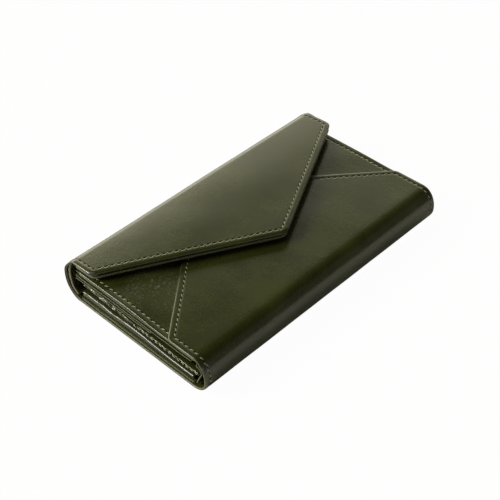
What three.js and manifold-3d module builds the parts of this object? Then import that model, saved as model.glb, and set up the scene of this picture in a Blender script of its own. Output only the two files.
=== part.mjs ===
// Envelope wallet: a long leather wallet that is folded in three and shut by a pointed flap.
//
// One sheet of leather makes the back, turns up round the front fold and comes back over the top
// as the lower half of an envelope front, whose slanting edges lie on two side wings. At the
// other edge the same sheet stands up as a curved spine, and the flap folds on top of it.
// Inside, from the floor up, are the back lining, a bill compartment with a folded gusset at each
// end, a flat pocket with bound ends, and the card layers that hang under the front.
//
// Millimetres. X runs along the wallet, Y from the front fold (-) to the spine (+), Z up.
// The origin is the middle of the footprint, on the surface that the wallet lies on.

import * as THREE from 'three';
import { mergeVertices } from 'three/addons/utils/BufferGeometryUtils.js';
import Module from 'manifold-3d';

const wasm = await Module();
wasm.setup();

// Overall size
const LENGTH = 190;
const DEPTH = 110;

// Leather and lining thicknesses
const COVER = 1.5;
const BACK_LINING = 1.0;
const FRONT_LINING = 0.7;
const SPINE_LINING = 1.1;
const FOLD_LINING = 0.7;
const WING = 1.1;
const CARD_BACKING = 0.7;
const CARD_STRIP = 0.6;
const POCKET_WALL = 0.7;
const BINDING = 0.6;
const GUSSET = 0.7;
const FLAP_LINING = 1.6;
const FLAP_CORE = 0.4;
const FLAP_OUTER = 2.4;

// Spaces between the layers
const LAYER_GAP = 0.2;
const CORE_GAP = 0.1;
const HINGE_GAP = 0.3;
const GUSSET_HEIGHT = 6.8;
const CARD_ROOM = 2.5; // between the flat pocket and the card layers
const SNAP_ROOM = 2.3; // between the front and the shut flap

// Heights, from the floor up
const backLiningZ = COVER + LAYER_GAP;
const gussetZ = backLiningZ + BACK_LINING + LAYER_GAP;
const bindingZ = gussetZ + GUSSET_HEIGHT + LAYER_GAP;
const pocketBackZ = bindingZ + BINDING + LAYER_GAP;
const pocketFrontZ = pocketBackZ + POCKET_WALL + LAYER_GAP;
const bindingTop = pocketFrontZ + POCKET_WALL + LAYER_GAP + BINDING;
const CARD_STRIPS = 3;
const cardsZ = bindingTop + CARD_ROOM;
const cardBackingZ = cardsZ + CARD_STRIPS * (CARD_STRIP + LAYER_GAP);
const frontLiningZ = cardBackingZ + CARD_BACKING + LAYER_GAP;
const wingZ = frontLiningZ + FRONT_LINING + LAYER_GAP;
const frontPanelZ = wingZ + WING + LAYER_GAP;
const frontTop = frontPanelZ + COVER;
const flapLiningZ = frontTop + SNAP_ROOM;
const flapCoreZ = flapLiningZ + FLAP_LINING + CORE_GAP;
const flapOuterZ = flapCoreZ + FLAP_CORE + CORE_GAP;
const flapTop = flapOuterZ + FLAP_OUTER;

// Rounded edges of the cover, as quarters of a superellipse
const FRONT_REACH = 10; // how far the front fold stands out past the flat of the front
const FRONT_WIDEST_Z = 9.5;
const SPINE_REACH = 11; // how far the spine stands out past the flat of the back
const SPINE_WIDEST_Z = 14.5;
const FLAP_FOLD_INSET = 9; // from the outside of the spine to the fold of the flap
const SQUARENESS = 2.15;
const STEPS = 9;
const frontFlat = -DEPTH / 2 + FRONT_REACH;
const backFlat = DEPTH / 2 - SPINE_REACH;
const spineTopY = DEPTH / 2 - FLAP_FOLD_INSET;
const flapBackY = spineTopY - HINGE_GAP;

const quarter = (y, z, reach, height) => ({ y, z, reach, height });
const frontLow = quarter(frontFlat, FRONT_WIDEST_Z, -FRONT_REACH, -FRONT_WIDEST_Z);
const frontHigh = quarter(frontFlat, FRONT_WIDEST_Z, -FRONT_REACH, frontTop - FRONT_WIDEST_Z);
const spineLow = quarter(backFlat, SPINE_WIDEST_Z, SPINE_REACH, -SPINE_WIDEST_Z);
const spineHigh = quarter(spineTopY, SPINE_WIDEST_Z, FLAP_FOLD_INSET, flapTop - SPINE_WIDEST_Z);

// How far the ends of the inner layers stand back from the ends of the cover
const LINING_INSET = 0.4;
const CARD_INSET = 0.6;
const POCKET_INSET = 1;
const GUSSET_INSET = 0.8;

// Envelope front. Distances along Y are measured from the flat of the front or the back.
const FRONT_PANEL_SIDE = 21; // front flat to where a slanting edge meets the end of the wallet
const FRONT_PANEL_SLOPE = 0.71;
const FRONT_PANEL_TIP = 4; // back flat to the tip of the front panel
const WING_TUCK = 12; // how far a wing runs on under the front panel
const frontPanelSideY = frontFlat + FRONT_PANEL_SIDE;
const frontPanelTipY = backFlat - FRONT_PANEL_TIP;

// Inner layers
const FRONT_LAYER_REACH = 1; // past the flat of the front, into the front fold
const CARD_BACKING_REACH = 4; // past the flat of the back, into the spine
const frontLayerY = frontFlat - FRONT_LAYER_REACH;
const cardBackingEndY = backFlat + CARD_BACKING_REACH;
const CARD_STRIP_REACH = 2.5;
const CARD_STRIP_START = 1;
const CARD_STRIP_STEP = 15;
const POCKET_REACH = 3.4; // into the front fold
const POCKET_MOUTH = 4;
const BINDING_WIDTH = 5;
const pocketStartY = frontFlat - POCKET_REACH;
const pocketEndY = backFlat - POCKET_MOUTH;
const GUSSET_START = 0.6;
const GUSSET_MOUTH = 1;
const GUSSET_DEPTH = 9;
const GUSSET_LEGS = 4;
const SPINE_LINING_END = 72; // degrees from the widest line towards the floor
const FOLD_LINING_LEAN = 6.3; // how far the crest of the fold lining stands out
const FOLD_LINING_DROP = 1; // from the lip of the fold lining down to its crest
const FOLD_LINING_LIP = 1.2;

// Flap
const FLAP_SIDE = 12.5; // back flat to where a slanting edge meets the end of the wallet
const FLAP_TIP = 64; // back flat to the tip of the flap
const FLAP_TIP_ROUND = 3;
const FLAP_CORNER_ROUND = 2;
const FLAP_LINING_INSET = 0.4;
const FLAP_CORE_INSET = 4;
const FLAP_CORE_BACK = 8; // from the fold to the board, where the flap bends freely

// Magnetic snap
const SNAP_FROM_TIP = 17;
const SNAP_RADIUS = 7.5;
const SNAP_BORE = 3;
const SNAP_PIN = 2.2;
const SNAP_CLEARANCE = 0.3;
const SNAP_DISC = 0.6;
const SNAP_WASHER = 0.4;
const SNAP_WASHER_RADIUS = 7;
const snapY = backFlat - FLAP_TIP + SNAP_FROM_TIP;
const ROUND_STEPS = 32;
const CORNER_STEPS = 5;

const material = (color, roughness, metalness = 0) =>
  new THREE.MeshStandardMaterial({ color, roughness, metalness });
const coverLeather = material(0x3c4128, 0.3);
const liningLeather = material(0x454a2f, 0.4);
const cardLeather = material(0x4a4f36, 0.45);
const gussetLeather = material(0x404528, 0.35);
const boardSheet = material(0x26281c, 0.8);
const snapMetal = material(0xb8a878, 0.3, 1);

// Outlines and sheets

const outlineShape = (points) => new THREE.Shape(points.map(([u, v]) => new THREE.Vector2(u, v)));

// An outline whose corners are rounded: each point is [u, v, length cut off each side of it].
function roundedShape(points) {
  const shape = new THREE.Shape();
  const at = (i) => new THREE.Vector2(...points[(i + points.length) % points.length]);
  points.forEach(([, , cut = 0], i) => {
    const corner = at(i);
    const before = at(i - 1).sub(corner).setLength(cut).add(corner);
    const after = at(i + 1).sub(corner).setLength(cut).add(corner);
    if (i === 0) shape.moveTo(before.x, before.y);
    else shape.lineTo(before.x, before.y);
    if (cut > 0) shape.quadraticCurveTo(corner.x, corner.y, after.x, after.y);
  });
  shape.closePath();
  return shape;
}

const extrude = (shape, depth, curveSegments = CORNER_STEPS) =>
  new THREE.ExtrudeGeometry(shape, { depth, bevelEnabled: false, curveSegments });

// A flat sheet with an X-Y shape, from height z up.
const flatSheet = (shape, z, thickness, steps) => extrude(shape, thickness, steps).translate(0, 0, z);

// A straight-edged flat sheet between two places along Y, set in from both ends of the wallet.
function flatLayer(inset, y0, y1, z, thickness) {
  const x = LENGTH / 2 - inset;
  return flatSheet(outlineShape([[-x, y0], [x, y0], [x, y1], [-x, y1]]), z, thickness);
}

// A bent sheet with a Y-Z outline, run along X.
function alongX(outline, inset) {
  const turn = new THREE.Matrix4().makeBasis(
    new THREE.Vector3(0, 1, 0),
    new THREE.Vector3(0, 0, 1),
    new THREE.Vector3(1, 0, 0),
  );
  const x = LENGTH / 2 - inset;
  return extrude(outlineShape(outline), 2 * x).applyMatrix4(turn).translate(-x, 0, 0);
}

// A piece with an X-Z outline, run along Y.
function alongY(outline, y0, y1) {
  const turn = new THREE.Matrix4().makeBasis(
    new THREE.Vector3(1, 0, 0),
    new THREE.Vector3(0, 0, 1),
    new THREE.Vector3(0, -1, 0),
  );
  return extrude(outlineShape(outline), y1 - y0).applyMatrix4(turn).translate(0, y1, 0);
}

// Points round a rounded edge, at a depth below its outside. Degrees run from 0 at the widest
// line to 90 at the flat.
function edgePoints(edge, depth, from, to) {
  const reach = edge.reach - Math.sign(edge.reach) * depth;
  const height = edge.height - Math.sign(edge.height) * depth;
  const count = Math.max(2, Math.ceil((STEPS * Math.abs(to - from)) / 90));
  return Array.from({ length: count + 1 }, (_, i) => {
    const angle = THREE.MathUtils.degToRad(from + ((to - from) * i) / count);
    return [
      edge.y + reach * Math.abs(Math.cos(angle)) ** (2 / SQUARENESS),
      edge.z + height * Math.abs(Math.sin(angle)) ** (2 / SQUARENESS),
    ];
  });
}

const solidFrom = (geometry) => {
  const bare = geometry.clone();
  bare.deleteAttribute('normal');
  bare.deleteAttribute('uv');
  const merged = mergeVertices(bare);
  return new wasm.Manifold(new wasm.Mesh({
    numProp: 3,
    vertProperties: new Float32Array(merged.attributes.position.array),
    triVerts: new Uint32Array(merged.index.array),
  }));
};

const geometryFrom = (solid) => {
  const mesh = solid.getMesh();
  const geometry = new THREE.BufferGeometry();
  geometry.setAttribute('position', new THREE.BufferAttribute(new Float32Array(mesh.vertProperties), 3));
  geometry.setIndex(new THREE.BufferAttribute(new Uint32Array(mesh.triVerts), 1));
  return geometry;
};

// Cover: spine, back, front fold and front panel in one sheet. Two cuts give the front panel its
// slanting edges.
function outerCover() {
  const line = (depth) => [
    ...edgePoints(spineHigh, depth, 90, 0),
    ...edgePoints(spineLow, depth, 0, 90).slice(1),
    ...edgePoints(frontLow, depth, 90, 0),
    ...edgePoints(frontHigh, depth, 0, 90).slice(1),
    [frontPanelTipY, frontTop - depth],
  ];
  const sheet = solidFrom(alongX([...line(0), ...line(COVER).reverse()], 0));
  const past = frontPanelTipY + LAYER_GAP;
  const cut = (side) => {
    const tipX = LENGTH / 2 - (past - frontPanelSideY) / FRONT_PANEL_SLOPE;
    const beyond = LENGTH / 2 + LAYER_GAP;
    const outline = [
      [side * LENGTH / 2, frontPanelSideY],
      [side * beyond, frontPanelSideY],
      [side * beyond, past],
      [side * tipX, past],
    ];
    return solidFrom(flatSheet(outlineShape(outline), frontPanelZ - LAYER_GAP / 2, COVER + LAYER_GAP));
  };
  return geometryFrom(sheet.subtract(cut(1)).subtract(cut(-1)));
}

// Side wing of the envelope front, tucked under the slanting edge of the front panel.
function wingPanel(side) {
  const outerX = side * (LENGTH / 2 - LINING_INSET / 2);
  const innerX = side * LAYER_GAP;
  const lowY = frontPanelSideY - WING_TUCK;
  const innerY = lowY + (LENGTH / 2) * FRONT_PANEL_SLOPE;
  const outline = [[outerX, lowY], [outerX, backFlat], [innerX, backFlat], [innerX, innerY]];
  return flatSheet(outlineShape(outline), wingZ, WING);
}

function spineLining() {
  const line = (depth) => [
    ...edgePoints(spineHigh, depth, 90, 0),
    ...edgePoints(spineLow, depth, 0, SPINE_LINING_END).slice(1),
  ];
  const outside = COVER + LAYER_GAP;
  return alongX([...line(outside), ...line(outside + SPINE_LINING).reverse()], LINING_INSET);
}

// Lining of the front fold: it leans from the back lining up to the card layers.
function foldLining() {
  const footZ = backLiningZ + BACK_LINING + LAYER_GAP;
  const lipY = frontFlat - FOLD_LINING_LIP;
  const lipZ = cardsZ - LAYER_GAP;
  const crestY = frontFlat - FOLD_LINING_LEAN;
  const crestZ = lipZ - FOLD_LINING_DROP;
  const outline = [
    [frontFlat, footZ],
    [crestY, crestZ],
    [lipY, lipZ],
    [lipY, lipZ + FOLD_LINING],
    [crestY - FOLD_LINING, crestZ + FOLD_LINING / 2],
    [frontFlat - FOLD_LINING, footZ],
  ];
  return alongX(outline, LINING_INSET);
}

const frontLining = () => flatLayer(LINING_INSET, frontLayerY, backFlat, frontLiningZ, FRONT_LINING);
const backLining = () => flatLayer(LINING_INSET, frontFlat, backFlat, backLiningZ, BACK_LINING);
const cardBacking = () => flatLayer(CARD_INSET, frontLayerY, cardBackingEndY, cardBackingZ, CARD_BACKING);
const cardStrip = (index) => flatLayer(
  CARD_INSET,
  frontFlat + CARD_STRIP_START + index * CARD_STRIP_STEP,
  backFlat + CARD_STRIP_REACH,
  cardBackingZ - (index + 1) * (CARD_STRIP + LAYER_GAP),
  CARD_STRIP,
);

const pocketPanelInset = POCKET_INSET + BINDING + LAYER_GAP;
const pocketPanel = (z) => flatLayer(pocketPanelInset, pocketStartY, pocketEndY, z, POCKET_WALL);

// Binding folded round one end of the flat pocket.
function pocketBinding(side) {
  const x = LENGTH / 2 - POCKET_INSET;
  const outline = [
    [x, bindingZ],
    [x, bindingTop],
    [x - BINDING_WIDTH, bindingTop],
    [x - BINDING_WIDTH, bindingTop - BINDING],
    [x - BINDING, bindingTop - BINDING],
    [x - BINDING, bindingZ + BINDING],
    [x - BINDING_WIDTH, bindingZ + BINDING],
    [x - BINDING_WIDTH, bindingZ],
  ];
  return alongY(outline.map(([u, v]) => [side * u, v]), pocketStartY, pocketEndY);
}

// Gusset at one end of the bill compartment: a sheet folded in zigzag from floor to ceiling.
function gusset(side) {
  const outer = LENGTH / 2 - GUSSET_INSET;
  const rise = GUSSET_HEIGHT / GUSSET_LEGS;
  const half = ((GUSSET / 2) * GUSSET_DEPTH) / (rise + GUSSET); // half the sheet, measured along X
  const folds = Array.from({ length: GUSSET_LEGS + 1 }, (_, i) => [
    i % 2 === 0 ? outer - half : outer - GUSSET_DEPTH + half,
    gussetZ + i * rise,
  ]);
  const outline = [
    ...folds.map(([x, z]) => [side * (x + half), z]),
    ...folds.map(([x, z]) => [side * (x - half), z]).reverse(),
  ];
  return alongY(outline, frontFlat + GUSSET_START, backFlat - GUSSET_MOUTH);
}

// Pointed outline of the flap, set in from its edges but not from its back.
function flapShape(inset, backY = flapBackY) {
  const x = LENGTH / 2 - inset;
  const slope = (FLAP_TIP - FLAP_SIDE) / (LENGTH / 2);
  const tipY = backFlat - FLAP_TIP + inset * Math.hypot(1, slope);
  const sideY = tipY + slope * x;
  return roundedShape([
    [-x, backY],
    [-x, sideY, FLAP_CORNER_ROUND],
    [0, tipY, FLAP_TIP_ROUND],
    [x, sideY, FLAP_CORNER_ROUND],
    [x, backY],
  ]);
}

// Stiffening board inside the flap, with a hole for the washer of the snap.
function flapCore() {
  const shape = flapShape(FLAP_CORE_INSET, flapBackY - FLAP_CORE_BACK);
  const hole = new THREE.Path();
  hole.absarc(0, snapY, SNAP_WASHER_RADIUS + SNAP_CLEARANCE, 0, 2 * Math.PI, true);
  shape.holes.push(hole);
  return flatSheet(shape, flapCoreZ, FLAP_CORE, ROUND_STEPS);
}

// A round piece with an upright axis through the snap: the profile gives [radius, height] points.
function turned(profile) {
  const points = profile.map(([r, z]) => new THREE.Vector2(r, z));
  return new THREE.LatheGeometry(points, ROUND_STEPS).rotateX(Math.PI / 2).translate(0, snapY, 0);
}

// Lower half of the snap: a ring magnet on the front panel, with a bore for the pin.
function snapSocket() {
  const low = frontTop + CORE_GAP;
  const high = flapLiningZ - CORE_GAP - SNAP_DISC - SNAP_CLEARANCE;
  return turned([
    [SNAP_BORE, low],
    [SNAP_RADIUS, low],
    [SNAP_RADIUS, high - SNAP_CLEARANCE],
    [SNAP_RADIUS - SNAP_CLEARANCE, high],
    [SNAP_BORE, high],
    [SNAP_BORE, low],
  ]);
}

// Upper half of the snap: a disc under the flap, with a pin that drops into the bore.
function snapStud() {
  const high = flapLiningZ - CORE_GAP;
  const low = high - SNAP_DISC;
  const pinEnd = frontTop + SNAP_CLEARANCE;
  return turned([
    [0, pinEnd],
    [SNAP_PIN, pinEnd],
    [SNAP_PIN, low],
    [SNAP_RADIUS, low],
    [SNAP_RADIUS, high],
    [0, high],
  ]);
}

const snapWasher = (z) => turned([
  [0, z],
  [SNAP_WASHER_RADIUS, z],
  [SNAP_WASHER_RADIUS, z + SNAP_WASHER],
  [0, z + SNAP_WASHER],
]);

const wallet = new THREE.Group();

const add = (name, geometry, finish) => {
  const mesh = new THREE.Mesh(geometry, finish);
  mesh.name = name;
  wallet.add(mesh);
};

add('outer_cover', outerCover(), coverLeather);
add('wing_panel_left', wingPanel(-1), coverLeather);
add('wing_panel_right', wingPanel(1), coverLeather);
add('front_lining', frontLining(), liningLeather);
add('spine_lining', spineLining(), liningLeather);
add('back_lining', backLining(), liningLeather);
add('fold_lining', foldLining(), liningLeather);
add('card_backing', cardBacking(), cardLeather);
for (let i = 0; i < CARD_STRIPS; i += 1) {
  add(`card_slot_${i + 1}`, cardStrip(i), cardLeather);
}
add('pocket_back_panel', pocketPanel(pocketBackZ), gussetLeather);
add('pocket_front_panel', pocketPanel(pocketFrontZ), gussetLeather);
add('pocket_binding_left', pocketBinding(-1), gussetLeather);
add('pocket_binding_right', pocketBinding(1), gussetLeather);
add('gusset_left', gusset(-1), gussetLeather);
add('gusset_right', gusset(1), gussetLeather);
add('flap_outer', flatSheet(flapShape(0), flapOuterZ, FLAP_OUTER), coverLeather);
add('flap_core', flapCore(), boardSheet);
add('flap_lining', flatSheet(flapShape(FLAP_LINING_INSET), flapLiningZ, FLAP_LINING), liningLeather);
add('snap_socket', snapSocket(), snapMetal);
add('snap_stud', snapStud(), snapMetal);
add('snap_socket_washer', snapWasher(wingZ + CORE_GAP), snapMetal);
add('snap_stud_washer', snapWasher(flapCoreZ), snapMetal);

export default wallet;
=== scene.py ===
"""Leather and stitching of the envelope wallet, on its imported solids."""

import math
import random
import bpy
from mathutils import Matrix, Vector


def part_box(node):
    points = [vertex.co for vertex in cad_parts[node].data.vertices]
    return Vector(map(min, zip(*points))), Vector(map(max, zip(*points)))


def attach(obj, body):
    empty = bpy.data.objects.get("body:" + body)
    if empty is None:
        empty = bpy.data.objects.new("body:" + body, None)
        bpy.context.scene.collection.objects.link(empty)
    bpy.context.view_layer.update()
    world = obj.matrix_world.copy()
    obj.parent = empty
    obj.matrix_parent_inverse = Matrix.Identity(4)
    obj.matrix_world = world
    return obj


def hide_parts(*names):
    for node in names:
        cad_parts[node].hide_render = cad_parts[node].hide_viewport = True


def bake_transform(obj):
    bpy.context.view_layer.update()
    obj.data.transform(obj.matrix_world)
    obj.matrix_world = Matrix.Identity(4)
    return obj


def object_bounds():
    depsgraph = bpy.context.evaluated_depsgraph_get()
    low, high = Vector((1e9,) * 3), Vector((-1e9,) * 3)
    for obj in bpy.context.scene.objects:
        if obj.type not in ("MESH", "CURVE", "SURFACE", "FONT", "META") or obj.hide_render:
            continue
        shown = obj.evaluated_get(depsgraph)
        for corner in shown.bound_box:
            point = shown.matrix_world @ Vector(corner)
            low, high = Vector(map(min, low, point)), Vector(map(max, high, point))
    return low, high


bl_info = {
    "name": "Envelope wallet",
    "version": (1, 0, 0),
    "blender": (4, 5, 0),
    "location": "3D View > Sidebar > Wallet",
    "description": "Dresses the solids of an envelope wallet in glazed leather with stitched edges",
    "category": "Object",
}

import bmesh
import bpy
from mathutils import Vector, noise

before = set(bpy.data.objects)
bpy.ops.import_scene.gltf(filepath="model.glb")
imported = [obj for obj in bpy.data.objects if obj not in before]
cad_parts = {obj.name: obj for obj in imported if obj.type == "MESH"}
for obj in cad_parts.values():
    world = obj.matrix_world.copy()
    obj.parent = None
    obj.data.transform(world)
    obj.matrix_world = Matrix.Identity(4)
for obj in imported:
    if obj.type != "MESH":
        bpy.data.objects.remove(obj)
CAD_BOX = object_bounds()
MM = 0.001

# Places in the Y-Z plane, in millimetres, as the solids have them
LOW, HIGH = (corner / MM for corner in CAD_BOX)
HALF_LENGTH = HIGH.x
FRONT_REACH = 10  # how far the front fold stands out past the flat of the front
SPINE_REACH = 11  # how far the spine stands out past the flat of the back
SPINE_TOP_REACH = 9
FRONT_FLAT_Y = LOW.y + FRONT_REACH
BACK_FLAT_Y = HIGH.y - SPINE_REACH
SPINE_TOP_Y = HIGH.y - SPINE_TOP_REACH
FRONT_WIDEST_Z = 9.5
SPINE_WIDEST_Z = 14.5
SQUARENESS = 2.15
FLAP_TOP = HIGH.z
COVER_THICKNESS = 1.5
FLAP_THICKNESS = 2.4
FLAP_SKIVED = 0.9  # how much thinner the flap's leather gets towards the spine
LAYER_GAP = 0.2


def side_word(side):
    """Name of an end of the wallet: -1 is its left, 1 its right."""
    return "left" if side < 0 else "right"


def node_box(node):
    """Lowest and highest corner of a solid, in millimetres."""
    low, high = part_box(node)
    return low / MM, high / MM


WING_TOP = node_box("wing_panel_left")[1].z
FRONT_TOP = WING_TOP + LAYER_GAP + COVER_THICKNESS
FRONT_PANEL_SIDE_Y = FRONT_FLAT_Y + 21
FRONT_PANEL_SLOPE = 0.71
FRONT_PANEL_TIP_Y = BACK_FLAT_Y - 4
FLAP_SIDE_Y = BACK_FLAT_Y - 12.5
FLAP_TIP_Y = node_box("flap_outer")[0].y - 0.6  # before the tip is rounded off
SEAM_RUN = 8.0  # the cover and the spine are drawn this far past their seam, and cut there
POCKET_STITCHES_TO = 4.0  # where the row ends, towards the spine

# How the leather departs from the straight solids
FLAP_LEAN = 1.3  # the flap was cut a little askew, with its tip off the middle
FLAP_TIP_PAST = 1.4
FLAP_CORNER_OUT = 1.4
FLAP_CORNER_DOWN = 2.6
FLAP_LINING_STEP = 0.2
SPINE_LEFT_OUT = 0.6
SPINE_RIGHT_OUT = 0.8
COVER_LEFT_OUT = 0.8
COVER_RIGHT_IN = 0.7
LEFT_DIAGONAL = (3.8, 0.82)  # how much further forward the front panel's edge starts, and its slope
RIGHT_DIAGONAL = (1.2, 0.85)
SCUFF_CENTRE = (-72.0, 4.0)
SCUFF_REACH = (19.0, 18.0)
COVER_HIDE = ("cover_hide", 1.0, 0.17)
LINING_HIDE = ("lining_hide", 1.15, 0.34)
CREASED_HIDE = ("crumpled_hide", 0.8, 0.1, 4.0)
GUSSET_HIDE = ("gusset_hide", 0.8, 0.1, 1.5)
SOFT_THREAD = ("soft_thread", 0.75)
BRIGHT_THREAD = ("bright_thread", 1.0)
ROW_GAP = 3.0
COLUMN_GAP = 8.0
STITCH_LEAN = 0.35
POCKET_LEAN = math.radians(28)
# Size of the flat beads of painted shadow that stand for the needle holes
HOLE_SHADOW_SIZE = (0.6 * MM, 0.45 * MM, 0.07 * MM)

# Studio
CAMERA_PLACE = Vector((-342.52, -321.01, 426.16)) * MM
CAMERA_AIM = Vector((0.5377, 0.5132, -0.6690))
CAMERA_LENS = 78.9
CAMERA_SENSOR = 36
FLOOR_HALF = 3.0  # metres
FLOOR_GAP = 0.1  # millimetres below the wallet
FLOOR_WHITE = (0.78, 0.77, 0.7)
FLOOR_GLOW = 0.975
LAMP_TARGET = (0.0, 0.0, 0.015)
LAMPS = (
    ("overhead", (-0.45, 0.25, 1.1), (0.6, 0.6), 1.6),
    ("left_window", (-0.9, 0.7, 0.72), (0.5, 0.5), 14.0),
    ("front_fill", (-0.1, -1.1, 0.3), (0.9, 0.3), 0.8),
)
WARM = (1.0, 0.96, 0.76)
WHITE = (1.0, 1.0, 1.0)


# Settings


class WalletSizes(bpy.types.PropertyGroup):
    """Sizes that a maker of the wallet would choose."""

    stitch: bpy.props.FloatProperty(
        name="Stitch",
        description="Length of one stitch with its hole",
        default=3.5 * MM,
        unit="LENGTH",
    )
    stitch_inset: bpy.props.FloatProperty(
        name="Stitch inset",
        description="From the edge to the stitches",
        default=3.5 * MM,
        unit="LENGTH",
    )
    thread: bpy.props.FloatProperty(
        name="Thread",
        description="Thickness of the thread",
        default=0.72 * MM,
        unit="LENGTH",
    )
    groove: bpy.props.FloatProperty(
        name="Groove",
        description="How deep the thread pulls the leather in",
        default=0.16 * MM,
        unit="LENGTH",
    )
    wave: bpy.props.FloatProperty(
        name="Wave",
        description="Height of the soft waves in the leather",
        default=0.14 * MM,
        unit="LENGTH",
    )
    crumple: bpy.props.FloatProperty(
        name="Crumple",
        description="Height of the creases in the pocket's turned ends",
        default=0.8 * MM,
        unit="LENGTH",
    )


class WalletColours(bpy.types.PropertyGroup):
    """Colours of the leather and the thread."""

    deep: bpy.props.FloatVectorProperty(
        name="Deep",
        description="Darkest tone of the leather",
        default=(0.024, 0.028, 0.004),
        subtype="COLOR",
    )
    tone: bpy.props.FloatVectorProperty(
        name="Tone",
        description="Main tone of the leather",
        default=(0.042, 0.048, 0.009),
        subtype="COLOR",
    )
    edge: bpy.props.FloatVectorProperty(
        name="Edge",
        description="Cut edges of the leather",
        default=(0.17, 0.162, 0.095),
        subtype="COLOR",
    )
    thread: bpy.props.FloatVectorProperty(
        name="Thread",
        description="Colour of the thread",
        default=(0.42, 0.41, 0.25),
        subtype="COLOR",
    )
    # Painted shadow: the near-black of the beads that stand for the shade inside the needle holes
    hole: bpy.props.FloatVectorProperty(
        name="Hole",
        description="Needle holes",
        default=(0.004, 0.004, 0.002),
        subtype="COLOR",
    )
    metal: bpy.props.FloatVectorProperty(
        name="Metal",
        description="Colour of the snap",
        default=(0.62, 0.5, 0.28),
        subtype="COLOR",
    )


# Shader maths


class Value:
    """A shader socket that can be used in Python expressions."""

    def __init__(self, shader, socket):
        self.shader = shader
        self.socket = socket

    def maths(self, operation, first, second=None, clamp=False):
        settings = {"operation": operation, "use_clamp": clamp}
        inputs = {0: first} if second is None else {0: first, 1: second}
        return self.shader.node("ShaderNodeMath", settings, inputs)

    def __add__(self, other):
        return self.maths("ADD", self, other)

    def __radd__(self, other):
        return self.maths("ADD", other, self)

    def __sub__(self, other):
        return self.maths("SUBTRACT", self, other)

    def __rsub__(self, other):
        return self.maths("SUBTRACT", other, self)

    def __mul__(self, other):
        return self.maths("MULTIPLY", self, other)

    def __rmul__(self, other):
        return self.maths("MULTIPLY", other, self)

    def __truediv__(self, other):
        return self.maths("DIVIDE", self, other)

    def __rtruediv__(self, other):
        return self.maths("DIVIDE", other, self)

    def __pow__(self, other):
        return self.maths("POWER", self, other)

    def __rpow__(self, other):
        return self.maths("POWER", other, self)

    def __abs__(self):
        return self.maths("ABSOLUTE", self)

    def clamped(self):
        return self.maths("ADD", self, 0.0, clamp=True)

    def step(self, low, high):
        """0 below low, 1 above high, smooth between them."""
        inputs = {"Value": self, "From Min": low, "From Max": high}
        return self.shader.node("ShaderNodeMapRange", {"interpolation_type": "SMOOTHSTEP"}, inputs)


class Shader:
    """Builds one node tree."""

    def __init__(self, owner):
        owner.use_nodes = True
        self.tree = owner.node_tree
        self.tree.nodes.clear()

    def node(self, kind, settings=None, inputs=None, output=0):
        """Adds a node: its settings first, then the values or links of its sockets."""
        made = self.tree.nodes.new(kind)
        for key, value in (settings or {}).items():
            setattr(made, key, value)
        for key, value in (inputs or {}).items():
            if isinstance(value, Value):
                self.tree.links.new(value.socket, made.inputs[key])
            else:
                made.inputs[key].default_value = value
        return Value(self, made.outputs[output]) if made.outputs else None

    def mix(self, factor, first, second):
        """Colour between two colours."""
        pair = [(*c, 1.0) if isinstance(c, tuple) else c for c in (first, second)]
        inputs = {0: factor, 6: pair[0], 7: pair[1]}
        return self.node("ShaderNodeMix", {"data_type": "RGBA"}, inputs, output=2)

    def place(self):
        return self.node("ShaderNodeTexCoord", output=3)

    def stretched(self, place, scale):
        return self.node("ShaderNodeMapping", {}, {"Vector": place, "Scale": scale})

    def cloud(self, place, scale, detail=3.0, rough=0.5):
        inputs = {"Vector": place, "Scale": scale, "Detail": detail, "Roughness": rough}
        return self.node("ShaderNodeTexNoise", {}, inputs)

    def seen(self):
        """1 for what the camera sees, straight or through glass, and 0 for all other rays."""
        camera = self.node("ShaderNodeLightPath")
        return camera + Value(self, camera.socket.node.outputs["Is Transmission Ray"])

    def axis(self, place, index):
        return self.node("ShaderNodeSeparateXYZ", {}, {0: place}, output=index)

    def bump(self, height, distance, strength, before=None):
        inputs = {"Height": height, "Distance": distance, "Strength": strength}
        if before is not None:
            inputs["Normal"] = before
        return self.node("ShaderNodeBump", {}, inputs)


# Materials


def colours():
    return {key: tuple(getattr(bpy.context.scene.wallet_colours, key)) for key in
            ("deep", "tone", "edge", "thread", "hole", "metal")}


def surface(name, shader_of):
    """A material whose Principled sockets come from a function of its shader."""
    material = bpy.data.materials.get(name)
    if material:
        return material
    material = bpy.data.materials.new(name)
    shader = Shader(material)
    skin = shader.node("ShaderNodeBsdfPrincipled", {}, shader_of(shader))
    shader.node("ShaderNodeOutputMaterial", {}, {"Surface": skin})
    return material


def worn_patch(s, place):
    """An oval of the left wing where the glaze is rubbed, and the flecks and streaks in it."""
    across = (s.axis(place, 0) - SCUFF_CENTRE[0] * MM) / (SCUFF_REACH[0] * MM)
    along = (s.axis(place, 1) - SCUFF_CENTRE[1] * MM) / (SCUFF_REACH[1] * MM)
    patch = 1.0 - (across ** 2.0 + along ** 2.0).step(0.35, 1.3)
    fleck = s.cloud(s.stretched(place, (1.0, 0.8, 1.0)), 900.0, 5.0, 0.75).step(0.55, 0.62)
    swirl = s.cloud(place, 110.0, 2.0)
    streak = 1.0 - abs(swirl - 0.5).step(0.0, 0.02)
    dust = patch * (fleck * s.cloud(place, 90.0, 2.0).step(0.35, 0.6) + streak * fleck)
    return patch, dust


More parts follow.
